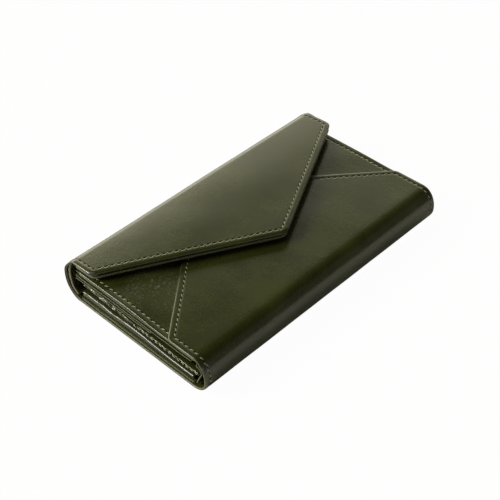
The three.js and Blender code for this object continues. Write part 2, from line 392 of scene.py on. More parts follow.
def glazed_leather(name, lift=1.0, gloss=0.3, wrinkle=1.0, scuffs=False):
    """Glazed leather: fine pores, soft creases, cloudy dye and pale cut edges."""

    def sockets(s):
        c = colours()
        place = s.place()
        deep = tuple(v * lift for v in c["deep"])
        tone = tuple(v * lift for v in c["tone"])
        cloud = s.cloud(place, 38.0, 4.0, 0.55)
        mottle = s.cloud(place, 700.0, 3.0, 0.6)
        dye = (cloud.step(0.36, 0.66) * 0.75 + mottle.step(0.35, 0.7) * 0.25).clamped()
        colour = s.mix(dye, deep, tone)
        rim = s.node("ShaderNodeAttribute", {"attribute_name": "rim"}, output=2)
        worn = rim * (s.cloud(place, 420.0, 4.0) * 0.7 + 0.45)
        colour = s.mix(worn.clamped(), colour, c["edge"])
        pores = s.node("ShaderNodeTexVoronoi", {"feature": "DISTANCE_TO_EDGE"},
                       {"Vector": place, "Scale": 1500.0})
        grain = pores.step(0.0, 0.25) * 0.6 + s.cloud(place, 2600.0, 2.0) * 0.4
        creases = s.cloud(s.stretched(place, (1.0, 0.45, 1.0)), 190.0, 6.0, 0.6)
        rough = gloss + mottle * 0.1 + rim * 0.4
        if scuffs:
            patch, dust = worn_patch(s, place)
            colour = s.mix((dust * 0.7 + patch * 0.05).clamped(), colour, c["edge"])
            rough = rough + dust * 0.35
        relief = s.bump(creases, 0.00012 * wrinkle, 0.5)
        lines = s.cloud(s.stretched(place, (0.6, 1.3, 1.0)), 620.0, 4.0, 0.6)
        relief = s.bump(lines, 0.00011, 0.5, relief)
        relief = s.bump(grain, 0.000012, 0.6, relief)
        return {
            "Base Color": colour,
            "Roughness": rough,
            "Normal": relief,
            "IOR": 1.5,
            "Coat Weight": 0.35 - rim * 0.35,
            "Coat Roughness": 0.12,
        }

    return surface(name, sockets)


def thread_finish(name, lift):
    """Twisted waxed thread."""

    def sockets(s):
        place = s.place()
        c = colours()
        twist = s.node("ShaderNodeTexWave", {"bands_direction": "DIAGONAL"},
                       {"Vector": place, "Scale": 1500.0})
        fibre = s.cloud(place, 5000.0, 2.0)
        full = tuple(v * lift for v in c["thread"])
        dim = tuple(v * 0.45 for v in full)
        return {
            "Base Color": s.mix((s.cloud(place, 260.0) * 0.8 + fibre * 0.4).clamped(), dim, full),
            "Roughness": 0.5,
            "Normal": s.bump(twist * 0.7 + fibre * 0.3, 0.00008, 0.6),
        }

    return surface(name, sockets)


def hole_finish():
    """Painted shadow for the bottom of a needle hole: near-black and matt, with no reflection."""

    def sockets(s):
        return {"Base Color": (*colours()["hole"], 1.0), "Roughness": 1.0, "IOR": 1.02}

    return surface("needle_hole", sockets)


def snap_finish():
    """Brushed metal with a fine ring grain."""

    def sockets(s):
        place = s.place()
        c = colours()
        brush = s.cloud(s.stretched(place, (1.0, 14.0, 1.0)), 500.0, 3.0)
        dull = tuple(v * 0.6 for v in c["metal"])
        return {
            "Base Color": s.mix(brush, dull, c["metal"]),
            "Metallic": 1.0,
            "Roughness": brush * 0.2 + 0.22,
            "Normal": s.bump(brush, 0.00002, 0.4),
        }

    return surface("brushed_snap", sockets)


def board_finish():
    """Stiffening board: matt, with a pressed fibre texture."""

    def sockets(s):
        fibre = s.cloud(s.stretched(s.place(), (1.0, 3.0, 1.0)), 900.0, 5.0, 0.7)
        return {
            "Base Color": s.mix(fibre, (0.012, 0.012, 0.008), (0.03, 0.03, 0.02)),
            "Roughness": 0.8,
            "Normal": s.bump(fibre, 0.00005, 0.5),
        }

    return surface("pressed_board", sockets)


# Leather sheets


def wobble(x, y, z, size):
    """Smooth noise about 0, at a place in millimetres, with features of a size."""
    return noise.noise(Vector((x, y, z)) / size)


def smooth(value, low, high):
    t = min(max((value - low) / (high - low), 0.0), 1.0)
    return t * t * (3 - 2 * t)


def quarter(y, z, reach, height, start, end, steps=14):
    """Points round a rounded edge; degrees run from 0 at the widest line to 90 at the flat."""
    points = []
    for i in range(steps + 1):
        angle = math.radians(start + (end - start) * i / steps)
        out = abs(math.cos(angle)) ** (2 / SQUARENESS)
        up = abs(math.sin(angle)) ** (2 / SQUARENESS)
        points.append((y + reach * out, z + height * up))
    return points


class Route:
    """A line in the Y-Z plane, measured along its length, with its outside on the left."""

    def __init__(self, points):
        self.points = [points[0]]
        for point in points[1:]:
            if math.dist(point, self.points[-1]) > 0.02:
                self.points.append(point)
        self.lengths = [0.0]
        for a, b in zip(self.points, self.points[1:]):
            self.lengths.append(self.lengths[-1] + math.dist(a, b))
        self.total = self.lengths[-1]

    def normal_at(self, i):
        a = self.points[max(i - 1, 0)]
        b = self.points[min(i + 1, len(self.points) - 1)]
        length = math.dist(a, b)
        return ((a[1] - b[1]) / length, (b[0] - a[0]) / length)

    def at(self, s):
        """Point and outward normal at a distance along the line, also straight past its ends."""
        i = 0
        while i < len(self.lengths) - 2 and self.lengths[i + 1] < s:
            i += 1
        t = (s - self.lengths[i]) / (self.lengths[i + 1] - self.lengths[i])
        (y0, z0), (y1, z1) = self.points[i], self.points[i + 1]
        c = min(max(t, 0.0), 1.0)
        n0, n1 = self.normal_at(i), self.normal_at(i + 1)
        ny, nz = n0[0] * (1 - c) + n1[0] * c, n0[1] * (1 - c) + n1[1] * c
        length = math.hypot(ny, nz)
        return (y0 + (y1 - y0) * t, z0 + (z1 - z0) * t), (ny / length, nz / length)


def flat_route(y0, y1, z):
    """A straight line at one height, with its outside upwards."""
    return Route([(y0, z), (y1, z)])


def inset_outline(outline, inset, radii):
    """A convex outline moved in from its edges, with rounded corners."""
    count = len(outline)
    lines = []
    for i in range(count):
        a, b = Vector(outline[i]), Vector(outline[(i + 1) % count])
        along = (b - a).normalized()
        inward = Vector((-along.y, along.x))
        lines.append((a + inward * inset, along))
    corners = []
    for i in range(count):
        (p, d), (q, e) = lines[i - 1], lines[i]
        cross = d.x * e.y - d.y * e.x
        corners.append(p + d * (((q - p).x * e.y - (q - p).y * e.x) / cross))
    points = []
    for i, corner in enumerate(corners):
        before = (corners[i - 1] - corner).normalized()
        after = (corners[(i + 1) % count] - corner).normalized()
        cut = max(radii[i] - inset * 0.4, 0.15) if radii[i] else 0.0
        steps = 5 if radii[i] else 0
        for k in range(steps + 1):
            t = k / steps if steps else 0.5
            start, end = corner + before * cut, corner + after * cut
            points.append(start * (1 - t) ** 2 + corner * 2 * t * (1 - t) + end * t ** 2)
    return points


def join_loops(mesh, loops):
    """Faces between loops of as many points each, and one face across each end."""
    for a, b in zip(loops, loops[1:]):
        for i in range(len(a)):
            j = (i + 1) % len(a)
            mesh.faces.new((a[i], a[j], b[j], b[i]))
    mesh.faces.new(loops[0])
    mesh.faces.new(loops[-1][::-1])


class Sheet:
    """A convex piece of leather, cut flat and then wrapped along a route.

    The outline's corners are places across and along the route. The groove names the edges that
    are stitched, the notches run round the cut edge, the shift raises the leather off the route,
    thin is its thickness along the route, and finer adds rows where it bends sharply.
    """

    def __init__(self, name, outline, route, thickness, round_edge, radii,
                 cuts=(-1e3, 1e3), shift=lambda x, y, z: 0.0, groove=(), thin=None, waves=1.0,
                 finer=(), ragged=0.0, notches=(), roll=1.0, pale=lambda x, s: 1.0):
        self.name = name
        self.outline = outline
        self.route = route
        self.thickness = thickness
        self.round_edge = min(round_edge, thickness * 0.48)
        self.radii = radii
        self.cuts = cuts
        self.shift = shift
        self.groove = groove
        self.thin = thin or (lambda s: thickness)
        self.waves = waves
        self.finer = finer
        self.ragged = ragged
        self.roll = roll
        self.pale = pale
        self.notches = notches

    def edge_distance(self, x, s, edges):
        """Distance in from the nearest of some edges of the outline."""
        best = 1e9
        for i in edges:
            a, b = Vector(self.outline[i]), Vector(self.outline[(i + 1) % len(self.outline)])
            along = (b - a).normalized()
            best = min(best, along.x * (s - a.y) - along.y * (x - a.x))
        return best

    def lift(self, x, s):
        """How far the leather's outside stands off its route."""
        sizes = bpy.context.scene.wallet_sizes
        (y, z), _ = self.route.at(s)
        height = self.shift(x, y, z)
        inside = self.edge_distance(x, s, range(len(self.outline)))
        height += self.waves * sizes.wave / MM * wobble(x, s, z, 24.0) * smooth(inside, 0.0, 12.0)
        if self.groove:
            off = abs(self.edge_distance(x, s, self.groove) - sizes.stitch_inset / MM)
            height -= sizes.groove / MM * (1 - smooth(off, 0.0, 0.9))
        return height

    def point(self, x, s, depth=0.0):
        (y, z), (ny, nz) = self.route.at(s)
        out = self.lift(x, s) - depth
        wander = self.ragged * wobble(math.copysign(7, x), s, z * 9, 16.0) * smooth(abs(x), 80, 94)
        place = Vector((x - math.copysign(abs(wander), x), y + ny * out, z + nz * out))
        place.z = max(place.z, LOW.z)
        return place * MM

    def normal(self, s):
        _, (ny, nz) = self.route.at(s)
        return Vector((0.0, ny, nz))

    def profile(self):
        """Inset and depth of each loop, from the inner face round the cut edge to the outer."""
        r = self.round_edge
        turns = [math.radians(a) for a in (0, 22.5, 45, 67.5, 90)]
        under = [(r * (1 - math.cos(a)), r * (1 - math.sin(a))) for a in turns] + [(r + 0.35, 0.0)]
        profile = [(inset, self.thickness - depth) for inset, depth in reversed(under)]
        for depth in self.notches:
            profile += [(0.0, depth + 0.2), (0.4, depth), (0.0, depth - 0.2)]
        profile += [(inset * self.roll, depth) for inset, depth in under]
        if self.groove:
            inset = bpy.context.scene.wallet_sizes.stitch_inset / MM
            profile += [(inset + d, 0.0) for d in (-0.9, -0.45, 0.0, 0.45, 0.9)]
        return profile

    def build(self, material):
        mesh = bmesh.new()
        rim_layer = mesh.verts.layers.float.new("rim")
        loops = []
        for inset, depth in self.profile():
            at_edge = inset < self.round_edge * 0.7
            loop = []
            for point in inset_outline(self.outline, inset, self.radii):
                vert = mesh.verts.new((point.x, point.y, -depth))
                vert[rim_layer] = self.pale(point.x, point.y) if at_edge else 0.0
                loop.append(vert)
            loops.append(loop)
        join_loops(mesh, loops)
        bmesh.ops.remove_doubles(mesh, verts=mesh.verts, dist=1e-5)
        for s, beyond in zip(self.cuts, (-1, 1)):
            cut = self.bisect(mesh, (0, s, 0), (0, beyond, 0), clear_outer=True)
            edges = [item for item in cut["geom_cut"] if isinstance(item, bmesh.types.BMEdge)]
            if edges:
                bmesh.ops.edgeloop_fill(mesh, edges=edges)
        self.cut_rows(mesh)
        for vert in mesh.verts:
            x, s, depth = vert.co.x, vert.co.y, -vert.co.z
            if depth > self.thickness / 2:
                depth = self.thin(s) - (self.thickness - depth)
            vert.co = self.point(x, s, depth)
        for edge in mesh.edges:
            if len(edge.link_faces) == 2 and edge.calc_face_angle(0.0) > math.radians(60):
                edge.smooth = False
        bmesh.ops.recalc_face_normals(mesh, faces=mesh.faces)
        return add_mesh(self.name, mesh, [material])

    def cut_rows(self, mesh):
        """Rows across the leather, close together where the route bends, and lines along it."""
        xs = [p[0] for p in self.outline]
        ys = [min(max(p[1], self.cuts[0]), self.cuts[1]) for p in self.outline]
        rows = [s for s in self.route.lengths if min(ys) + 0.3 < s < max(ys) - 0.3]
        here = min(ys) + ROW_GAP
        while here < max(ys) - 0.5:
            if all(abs(here - s) > ROW_GAP / 2 for s in rows):
                rows.append(here)
            here += ROW_GAP
        for centre, reach, gap in self.finer:
            here = centre - reach
            while here < centre + reach:
                rows.append(here)
                here += gap
        for s in sorted(rows):
            self.bisect(mesh, (0, s, 0), (0, 1, 0))
        count = max(1, round((max(xs) - min(xs)) / COLUMN_GAP))
        for i in range(1, count):
            self.bisect(mesh, (min(xs) + (max(xs) - min(xs)) * i / count, 0, 0), (1, 0, 0))

    @staticmethod
    def bisect(mesh, place, across, **options):
        everything = mesh.verts[:] + mesh.edges[:] + mesh.faces[:]
        return bmesh.ops.bisect_plane(
            mesh, geom=everything, dist=1e-4, plane_co=place, plane_no=across, **options
        )


def add_mesh(name, mesh, materials):
    """An object with smooth faces, from a mesh that is then let go."""
    data = bpy.data.meshes.new(name)
    for face in mesh.faces:
        face.smooth = True
    mesh.to_mesh(data)
    mesh.free()
    piece = bpy.data.objects.new(name, data)
    bpy.context.scene.collection.objects.link(piece)
    for material in materials:
        data.materials.append(material)
    return piece


def settle(piece, nodes, body):
    """A piece that moves with one body and stands for some solids, or for none."""
    if nodes:
        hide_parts(*nodes)
    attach(piece, body)
    return piece


def bend(piece, nodes):
    """A piece that crosses the fold of the flap."""
    if nodes:
        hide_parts(*nodes)
    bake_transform(piece)
    return piece


def loft(name, sections, materials):
    """A closed piece through sections of the same number of points, with ends."""
    mesh = bmesh.new()
    join_loops(mesh, [[mesh.verts.new(p * MM) for p in section] for section in sections])
    bmesh.ops.recalc_face_normals(mesh, faces=mesh.faces)
    return add_mesh(name, mesh, materials)


# The pieces


def cover_sheet():
    """Back, front fold and front panel."""
    route = Route(
        [(BACK_FLAT_Y, 0.0)]
        + quarter(FRONT_FLAT_Y, FRONT_WIDEST_Z, -FRONT_REACH, -FRONT_WIDEST_Z, 90, 0)
        + quarter(FRONT_FLAT_Y, FRONT_WIDEST_Z, -FRONT_REACH, FRONT_TOP - FRONT_WIDEST_Z, 0, 90)[1:]
        + [(FRONT_PANEL_TIP_Y, FRONT_TOP)]
    )
    run = FRONT_PANEL_TIP_Y - FRONT_PANEL_SIDE_Y
    side = route.total - run
    left, right = HALF_LENGTH + COVER_LEFT_OUT, HALF_LENGTH - COVER_RIGHT_IN
    (left_start, left_slope), (right_start, right_slope) = LEFT_DIAGONAL, RIGHT_DIAGONAL
    outline = [
        (-HALF_LENGTH - SPINE_LEFT_OUT, -SEAM_RUN),
        (HALF_LENGTH + SPINE_RIGHT_OUT, -SEAM_RUN),
        (right, side - right_start),
        (right - (run + right_start) / right_slope, route.total),
        ((run + left_start) / left_slope - left, route.total),
        (-left, side - left_start),
    ]

    def pale(x, s):
        ends = smooth(-x, 92, 93.5) + 0.35 * smooth(x, 92, 93.5)
        return ends * (0.85 - 0.4 * smooth(s, side - 30, side - 18))

    return Sheet(
        "cover", outline, route, COVER_THICKNESS, 0.7, [0, 0, 2.5, 1.5, 1.5, 2.5],
        cuts=(0.0, 1e3), roll=1.5, groove=(1, 2, 3, 4, 5), pale=pale
    )


def droop(y, power):
    """The flap sinks towards its fold: 0 at its middle, 1 at the fold."""
    return min(max((y - 8) / 42, 0.0), 1.0) ** power


def flap_sheet():
    """Flap and spine, from the flap's tip over the fold and down to the floor."""
    route = Route(
        [(FLAP_TIP_Y, FLAP_TOP)]
        + quarter(SPINE_TOP_Y, SPINE_WIDEST_Z, SPINE_TOP_REACH, FLAP_TOP - SPINE_WIDEST_Z, 90, 0)
        + quarter(BACK_FLAT_Y, SPINE_WIDEST_Z, SPINE_REACH, -SPINE_WIDEST_Z, 0, 90)[1:]
    )
    fold = SPINE_TOP_Y - FLAP_TIP_Y
    side = FLAP_SIDE_Y - FLAP_TIP_Y
    outline = [
        (FLAP_LEAN, -FLAP_TIP_PAST),
        (HALF_LENGTH + FLAP_CORNER_OUT, side - FLAP_CORNER_DOWN),
        (HALF_LENGTH + SPINE_RIGHT_OUT, route.total + SEAM_RUN),
        (-HALF_LENGTH - SPINE_LEFT_OUT, route.total + SEAM_RUN),
        (-HALF_LENGTH - SPINE_LEFT_OUT, side - FLAP_LINING_STEP),
    ]

    def shift(x, y, z):
        depth = (1.2 + 0.5 * smooth(-x, -20, 60)) * smooth(z, 17, 27)
        return 0.5 * smooth(y, 51, 55) - depth * droop(y, 2.6)

    return Sheet(
        "flap_and_spine", outline, route, FLAP_THICKNESS, 1.0, [4, 3, 0, 0, 3],
        cuts=(-1e3, route.total), groove=(0, 1, 3, 4), shift=shift,
        thin=lambda s: FLAP_THICKNESS - FLAP_SKIVED * smooth(s, fold - 9, fold - 1),
        finer=((fold, 6, 0.5),), notches=(COVER_THICKNESS,), roll=2.0,
        pale=lambda x, s: smooth(abs(x), 93, 94.5) * smooth(s, fold - 2, fold + 6)
    )


def flap_lining_sheet():
    """Lining of the flap, a little short of its leather so that a groove shows."""
    low, high = node_box("flap_lining")
    side = FLAP_SIDE_Y - low.y
    depth = high.y - low.y
    step = FLAP_LINING_STEP
    outline = [
        (FLAP_LEAN, -FLAP_TIP_PAST - step),
        (high.x + FLAP_CORNER_OUT - step, side - FLAP_CORNER_DOWN - step),
        (high.x, depth),
        (low.x, depth),
        (low.x, side - 2 * step),
    ]
    return Sheet(
        "flap_lining_sheet", outline, flat_route(low.y, high.y, high.z), high.z - low.z, 0.55,
        [4, 3, 1, 1, 3], waves=0.6, shift=lambda x, y, z: -1.1 * droop(y, 2)
    )


def wing_sheet(side):
    """Side wing of the envelope front: it rises towards the spine, where the cards push it up."""
    word = side_word(side)
    low, high = node_box(f"wing_panel_{word}")
    outer, inner = (low.x, high.x) if side < 0 else (high.x, low.x)
    inner_y = low.y + HALF_LENGTH * FRONT_PANEL_SLOPE
    corners = [(outer, low.y), (inner, inner_y), (inner, high.y), (outer, high.y)]
    if side > 0:
        corners = [corners[i] for i in (1, 0, 3, 2)]
    outline = [(x, y - low.y) for x, y in corners]
    end_edge = 3 if side < 0 else 1
    rise = 1.5 if side < 0 else 0.4

    def shift(x, y, z):
        past = y - FRONT_PANEL_SIDE_Y - FRONT_PANEL_SLOPE * (HALF_LENGTH - abs(x))
        return rise * smooth(past / math.hypot(1, FRONT_PANEL_SLOPE), 0.5, 24)

    return Sheet(
        f"wing_{word}", outline, flat_route(low.y, high.y, high.z), high.z - low.z, 0.5,
        [0, 0, 1.5, 1.5], shift=shift, groove=(end_edge,), pale=lambda x, s: 0.0
    )


def layer_sheet(node, rise=0.0, tuck=0.0, pale=0.8):
    """A straight-edged layer of the stack, raised towards the spine at its two ends."""
    low, high = node_box(node)
    low.x += tuck
    high.x -= tuck
    depth = high.y - low.y
    outline = [(low.x, 0.0), (high.x, 0.0), (high.x, depth), (low.x, depth)]

    def shift(x, y, z):
        return rise * smooth(y, -40, 46) * smooth(abs(x), 50, 92)

    return Sheet(node, outline, flat_route(low.y, high.y, high.z), high.z - low.z, 0.12,
                 [1, 1, 1, 1], shift=shift, ragged=0.4, pale=lambda x, s: pale)


def spine_lining_sheet():
    """Lining of the spine, with a tail that runs on into the flap."""
    depth = 1.75
    route = Route(
        [(SPINE_TOP_Y - 8, FLAP_TOP - depth)]
        + quarter(SPINE_TOP_Y, SPINE_WIDEST_Z, SPINE_TOP_REACH - depth,
                  FLAP_TOP - SPINE_WIDEST_Z - depth, 90, 0)
        + quarter(BACK_FLAT_Y, SPINE_WIDEST_Z, SPINE_REACH - depth,
                  depth - SPINE_WIDEST_Z, 0, 72)[1:]
    )
    x = node_box("spine_lining")[1].x
    outline = [(-x, 0.0), (x, 0.0), (x, route.total), (-x, route.total)]
    return Sheet(
        "spine_lining_sheet", outline, route, 1.1, 0.4, [1, 1, 1, 1], ragged=0.4,
        finer=((8, 6, 0.5),), thin=lambda s: 1.1 + 0.7 * smooth(s, 8, 14)
    )


def fold_lining_sheet():
    """Lining of the front fold: it leans out from the floor and turns in over the pocket."""
    low, high = node_box("fold_lining")
    foot, crest, lip = (high.y - 1.9, low.z), (low.y, high.z - 1.4), (high.y - 1.2, high.z)
    knee = tuple(c * 0.3 + f * 0.7 for c, f in zip(crest, foot))
    points = [foot, knee]
    for i in range(11):
        t = i / 10
        a, b = (1 - t) ** 2, 2 * t * (1 - t)
        points.append(tuple(
            k * a * 0.4 + c * (a * 0.6 + b) + p * t * t for k, c, p in zip(knee, crest, lip)
        ))
    route = Route(points)
    outline = [(low.x, 0.0), (high.x, 0.0), (high.x, route.total), (low.x, route.total)]
    return Sheet("fold_lining_sheet", outline, route, 0.7, 0.3, [1, 1, 1, 1], ragged=0.8)


def pocket_rise(y):
    """How far the flat pocket stands off its solids: down in front, up towards the spine."""
    return -1.7 + 1.3 * smooth(y, -40, -8) + 1.1 * smooth(y, -5, 22) + 1.9 * smooth(y, 20, 42)


def pocket_sheet(node):
    """Panel of the flat pocket, at the height to which the pocket has been pushed."""
    sheet = layer_sheet(node)
    sheet.shift = lambda x, y, z: pocket_rise(y)
    return sheet


def pocket_binding(side):
    """Turned end of the flat pocket: a thin bead, stitched in front and crumpled behind."""
    low, high = node_box(f"pocket_binding_{side_word(side)}")
    crumple = bpy.context.scene.wallet_sizes.crumple / MM
    width = high.x - low.x
    sections = []
    stations = round((high.y - low.y) / 0.6)
    for i in range(stations + 1):
        y = low.y + (high.y - low.y) * i / stations
        rough = crumple * (0.25 + 0.75 * smooth(y, -22, 6))
        swell = 1 + 0.6 * smooth(y, -14, 14)
        loop = [(-width, 1.0), (-1.6, 1.0)]
        for k in range(11):
            turn = math.pi * k / 10
            up = math.cos(turn)
            broad = wobble(y, 9 * side, up * 2.5, 3.4)
            crease = rough * (broad + 0.7 * wobble(y, 3 * side, up * 3, 1.8))
            out = 0.75 * swell * math.sin(turn) ** 0.8
            loop.append((-0.75 * swell + out + crease, 0.8 * swell * up + crease * 0.9))
        loop += [(-1.9, -0.9), (-2.2, -1.9), (-width, -2.1)]
        middle = (low.z + high.z) / 2 + 0.7 + pocket_rise(y)
        edge = HALF_LENGTH - 0.5
        sections.append([Vector((side * (edge + x), y, middle + z)) for x, z in loop])
    return loft(f"pocket_edge_{side_word(side)}", sections, [glazed_leather(*CREASED_HIDE)])


def rounded(points):
    """Cuts the corners of a line, twice over, so that its folds are round."""
    for _ in range(2):
        cut = [points[0]]
        for a, b in zip(points, points[1:]):
            cut.append(a * 0.75 + b * 0.25)
            cut.append(a * 0.25 + b * 0.75)
        cut.append(points[-1])
        points = cut
    return points


def thickened(line, half):
    """A closed loop round a line, at some distance on either side of it."""
    near, far = [], []
    for k, p in enumerate(line):
        along = (line[min(k + 1, len(line) - 1)] - line[max(k - 1, 0)]).normalized()
        across = Vector((-along.y, along.x)) * half
        near.append(p + across)
        far.append(p - across)
    return near + far[::-1]


def gusset(side):
    """Folded end of the bill compartment, with loose wavy folds near the spine."""
    low, high = node_box(f"gusset_{side_word(side)}")
    outer = HALF_LENGTH - 0.9
    inner = min(abs(low.x), abs(high.x)) + 0.6
    sections = []
    stations = round((high.y - low.y) / 0.8)
    for i in range(stations + 1):
        y = low.y + (high.y - low.y) * i / stations
        loose = smooth(y, -12, 34)
        top = min(high.z, high.z + pocket_rise(y))
        ridge = 5.3 + 1.8 * smooth(y, -30, 0) + 0.5 * smooth(y, 20, 42)
        ridge += 0.2 * wobble(y, 4, side, 18.0) + 1.5 * loose * wobble(y, 8, side, 10.0)
        swing = 0.7 * loose * wobble(y, 0, 5 * side, 8.0)
        folds = [
            Vector((outer - 4.5, top)),
            Vector((inner, top - 1.1)),
            Vector((inner + 1.0, ridge + 1.2)),
            Vector((outer + swing, ridge + 0.7)),
            Vector((outer + swing - 0.1, ridge - 0.5)),
            Vector((outer - 2.4, (ridge + low.z) / 2 + 0.2)),
            Vector((outer - 0.4, low.z + 0.5)),
            Vector((outer - 4.0, low.z + 0.2)),
        ]
        slant = smooth(y, 24, 43) * 0.42
        sections.append([
            Vector((side * p.x, y + slant * (6.3 - p.y), p.y))
            for p in thickened(rounded(folds), 0.3)
        ])
    return loft(f"gusset_fold_{side_word(side)}", sections, [glazed_leather(*GUSSET_HIDE)])


# Stitching


def add_bead(mesh, centre, along, across, up, size, material_index):
    """A rounded bead: size is its half length, half width and half height."""
    rings, sides = 4, 8
    loops = []
    for i in range(1, rings):
        turn = math.pi * i / rings
        loop = []
        for k in range(sides):
            angle = 2 * math.pi * k / sides
            offset = (
                along * (-math.cos(turn) * size[0])
                + across * (math.sin(turn) * math.cos(angle) * size[1])
                + up * (math.sin(turn) * math.sin(angle) * size[2])
            )
            loop.append(mesh.verts.new(centre + offset))
        loops.append(loop)
    ends = [mesh.verts.new(centre - along * size[0]), mesh.verts.new(centre + along * size[0])]
    faces = []
    for a, b in zip(loops, loops[1:]):
        for k in range(sides):
            j = (k + 1) % sides
            faces.append(mesh.faces.new((a[k], a[j], b[j], b[k])))
    for loop, end in ((loops[0], ends[0]), (loops[-1], ends[1])):
        for k in range(sides):
            faces.append(mesh.faces.new((loop[k], loop[(k + 1) % sides], end)))
    for face in faces:
        face.material_index = material_index


def stitch_spots(sheet, limit):
    """Middle of each stitch on the flat leather, the way that it runs and its share of the row."""
    sizes = bpy.context.scene.wallet_sizes
    corners = inset_outline(sheet.outline, sizes.stitch_inset / MM, [0.0] * len(sheet.outline))
    for edge in sheet.groove:
        a, b = corners[edge], corners[(edge + 1) % len(corners)]
        way = (b - a).normalized()
        count = max(1, int((b - a).length / (sizes.stitch / MM)))
        space = (b - a).length / count
        for i in range(count):
            spot = a + way * space * (i + 0.5)
            on_sheet = sheet.cuts[0] < spot.y < sheet.cuts[1]
            if on_sheet and (not limit or limit(spot.x, sheet.route.at(spot.y)[0][0])):
                yield spot, way, space


def stitch_row(name, sheets, thread, limit=None):
    """Stitches in the grooves of leather sheets, with a bead of painted shadow for the needle hole
    between each two.
    """
    thick = bpy.context.scene.wallet_sizes.thread / MM
    rng = random.Random(name)
    mesh = bmesh.new()
    for sheet in sheets:
        for spot, way, space in stitch_spots(sheet, limit):
            centre = sheet.point(spot.x, spot.y)
            ahead = sheet.point(spot.x + way.x * 0.4, spot.y + way.y * 0.4)
            up = sheet.normal(spot.y)
            along = (ahead - centre).normalized()
            across = up.cross(along).normalized()
            tilt = STITCH_LEAN + rng.uniform(-0.06, 0.06)
            lay = (along * math.cos(tilt) + across * math.sin(tilt)).normalized()
            side = up.cross(lay).normalized()
            size = (space * 0.34 * MM, thick * 0.5 * MM, thick * 0.42 * MM)
            # Under the wallet the thread lies sunk in the leather, clear of the floor
            rise = 0.12 if up.z > -0.5 else -0.4
            add_bead(mesh, centre + up * thick * rise * MM, lay, side, up, size, 0)
            # A flat near-black bead between two stitches paints the shadow inside the needle hole
            hole = sheet.point(spot.x + way.x * space / 2, spot.y + way.y * space / 2)
            add_bead(mesh, hole + up * 0.01 * MM, lay, side, up, HOLE_SHADOW_SIZE, 1)
    bmesh.ops.recalc_face_normals(mesh, faces=mesh.faces)
    return add_mesh(name, mesh, [thread, hole_finish()])


def past_front_panel(x, y):
    """Whether a place at a wing's end lies behind the front panel's edge."""
    start = (LEFT_DIAGONAL if x < 0 else RIGHT_DIAGONAL)[0]
    return y > FRONT_PANEL_SIDE_Y + 1 - start


def pocket_stitches():
    """Slanted stitches along the front part of the pocket's turned ends."""
    sizes = bpy.context.scene.wallet_sizes
    pitch = sizes.stitch / MM * 0.94
    along = Vector((0.0, math.cos(POCKET_LEAN), math.sin(POCKET_LEAN)))
    across = Vector((0.0, -math.sin(POCKET_LEAN), math.cos(POCKET_LEAN)))
    # Each stitch is a thread bead, followed by a flat bead of painted shadow for its needle hole
    beads = ((0.0, (1.15, 0.42, 0.36)), (pitch / 2, (0.5, 0.55, 0.12)))
    mesh = bmesh.new()
    for side in (-1, 1):
        low, high = node_box(f"pocket_binding_{side_word(side)}")
        for i in range(int((POCKET_STITCHES_TO - low.y) / pitch)):
            y = low.y + pitch * (i + 0.5)
            z = (low.z + high.z) / 2 + 0.7 + pocket_rise(y)
            for index, (shift, size) in enumerate(beads):
                centre = Vector((side * (HALF_LENGTH - 0.55), y + shift, z + 0.1)) * MM
                size = [v * MM for v in size]
                add_bead(mesh, centre, along, across, Vector((side, 0, 0)), size, index)
    bmesh.ops.recalc_face_normals(mesh, faces=mesh.faces)
    return add_mesh("pocket_stitches", mesh, [thread_finish(*BRIGHT_THREAD), hole_finish()])


# Stage


def add_camera():
    data = bpy.data.cameras.new("view")
    data.lens = CAMERA_LENS
    data.sensor_width = CAMERA_SENSOR
    data.clip_start = 0.01
    camera = bpy.data.objects.new("view", data)
    camera.location = CAMERA_PLACE
    camera.rotation_euler = CAMERA_AIM.to_track_quat("-Z", "Y").to_euler()
    bpy.context.scene.collection.objects.link(camera)
    bpy.context.scene.camera = camera


def add_floor():
    mesh = bmesh.new()
    bmesh.ops.create_grid(mesh, x_segments=4, y_segments=4, size=FLOOR_HALF)
    for vert in mesh.verts:
        vert.co.z = (LOW.z - FLOOR_GAP) * MM
    material = bpy.data.materials.new("white_floor")
    shader = Shader(material)
    share = (shader.seen() * FLOOR_GLOW).clamped()
    lit = shader.node("ShaderNodeBsdfDiffuse", {}, {"Color": (*FLOOR_WHITE, 1.0)})
    glow = shader.node("ShaderNodeEmission", {}, {"Color": (*WHITE, 1.0), "Strength": 1.0})
    mixed = shader.node("ShaderNodeMixShader", {}, {0: share, 1: lit, 2: glow})
    shader.node("ShaderNodeOutputMaterial", {}, {"Surface": mixed})
    floor = add_mesh("floor", mesh, [material])


def add_lamp(name, place, size, power):
    data = bpy.data.lights.new(name, "AREA")
    data.shape = "RECTANGLE"
    data.size, data.size_y = size
    data.energy = power
    lamp = bpy.data.objects.new(name, data)
    lamp.location = place
    aim = Vector(LAMP_TARGET) - Vector(place)
    lamp.rotation_euler = aim.to_track_quat("-Z", "Y").to_euler()
    bpy.context.scene.collection.objects.link(lamp)


def light_world():
    """White where the camera looks; for the gloss, a studio that is bright low down behind."""
    world = bpy.data.worlds.new("studio")
    bpy.context.scene.world = world
    shader = Shader(world)
    seen = shader.seen()
    way = shader.node("ShaderNodeTexCoord")
    right, back, up = (shader.axis(way, index) for index in range(3))
    low = 1.0 - up.step(0.44, 0.745)
    behind = back * 0.9 + right * 0.3
    glow = low * (behind.step(0.12, 0.42) * 0.92 + 0.08)
    flare = back.step(0.57, 0.72) * (1.0 - up.step(0.42, 0.62))
    level = (glow * 1.5 + flare * 1.4 + 0.02) * (1.0 - seen) + seen
    tint = shader.mix(seen.clamped(), WARM, WHITE)
    background = shader.node("ShaderNodeBackground", {}, {"Color": tint, "Strength": level})
    shader.node("ShaderNodeOutputWorld", {}, {"Surface": background})


# Operators


class WalletOperator:
    """What the operators of this file share."""

    bl_options = {"REGISTER", "UNDO"}


